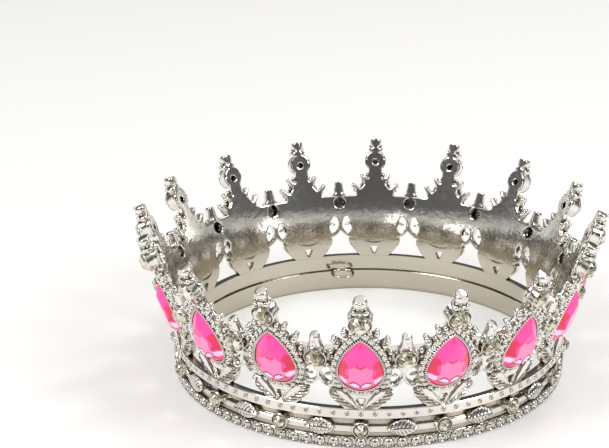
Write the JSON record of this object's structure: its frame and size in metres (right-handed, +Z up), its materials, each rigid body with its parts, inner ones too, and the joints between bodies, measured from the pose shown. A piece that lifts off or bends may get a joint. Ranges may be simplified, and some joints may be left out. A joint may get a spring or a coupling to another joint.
{
  "type": "costume crown",
  "caption": "Round flared costume crown: plated openwork ring with pear-shaped pink gems, small clear stones, ball-ended prongs and stepped finials on a plain inside.",
  "frame": {"origin": "centre of the ring at the underside of its foot rail", "axes": "+Z up along the ring's axis, -Y out through the middle of the first segment"},
  "size_m": [0.1696, 0.1696, 0.0593],
  "materials": {
    "plating": "mirror-bright silver plating on plastic",
    "pink_gem": "faceted, foil-backed, glossy",
    "clear_stone": "faceted, foil-backed, smoky clear"
  },
  "bodies": {
    "root": {"frame": "plating", "gem_01": "pink_gem", "gem_02": "pink_gem", "gem_03": "pink_gem", "gem_04": "pink_gem", "gem_05": "pink_gem", "gem_06": "pink_gem", "gem_07": "pink_gem", "gem_08": "pink_gem", "gem_09": "pink_gem", "gem_10": "pink_gem", "gem_11": "pink_gem", "gem_12": "pink_gem", "gem_13": "pink_gem", "gem_14": "pink_gem", "gem_15": "pink_gem", "gem_16": "pink_gem", "top_stone_01": "clear_stone", "top_stone_02": "clear_stone", "top_stone_03": "clear_stone", "top_stone_04": "clear_stone", "top_stone_05": "clear_stone", "top_stone_06": "clear_stone", "top_stone_07": "clear_stone", "top_stone_08": "clear_stone", "top_stone_09": "clear_stone", "top_stone_10": "clear_stone", "top_stone_11": "clear_stone", "top_stone_12": "clear_stone", "top_stone_13": "clear_stone", "top_stone_14": "clear_stone", "top_stone_15": "clear_stone", "top_stone_16": "clear_stone", "side_stone_01": "clear_stone", "side_stone_02": "clear_stone", "side_stone_03": "clear_stone", "side_stone_04": "clear_stone", "side_stone_05": "clear_stone", "side_stone_06": "clear_stone", "side_stone_07": "clear_stone", "side_stone_08": "clear_stone", "side_stone_09": "clear_stone", "side_stone_10": "clear_stone", "side_stone_11": "clear_stone", "side_stone_12": "clear_stone", "side_stone_13": "clear_stone", "side_stone_14": "clear_stone", "side_stone_15": "clear_stone", "side_stone_16": "clear_stone", "band_stones": "clear_stone"}
  },
  "joints": []
}
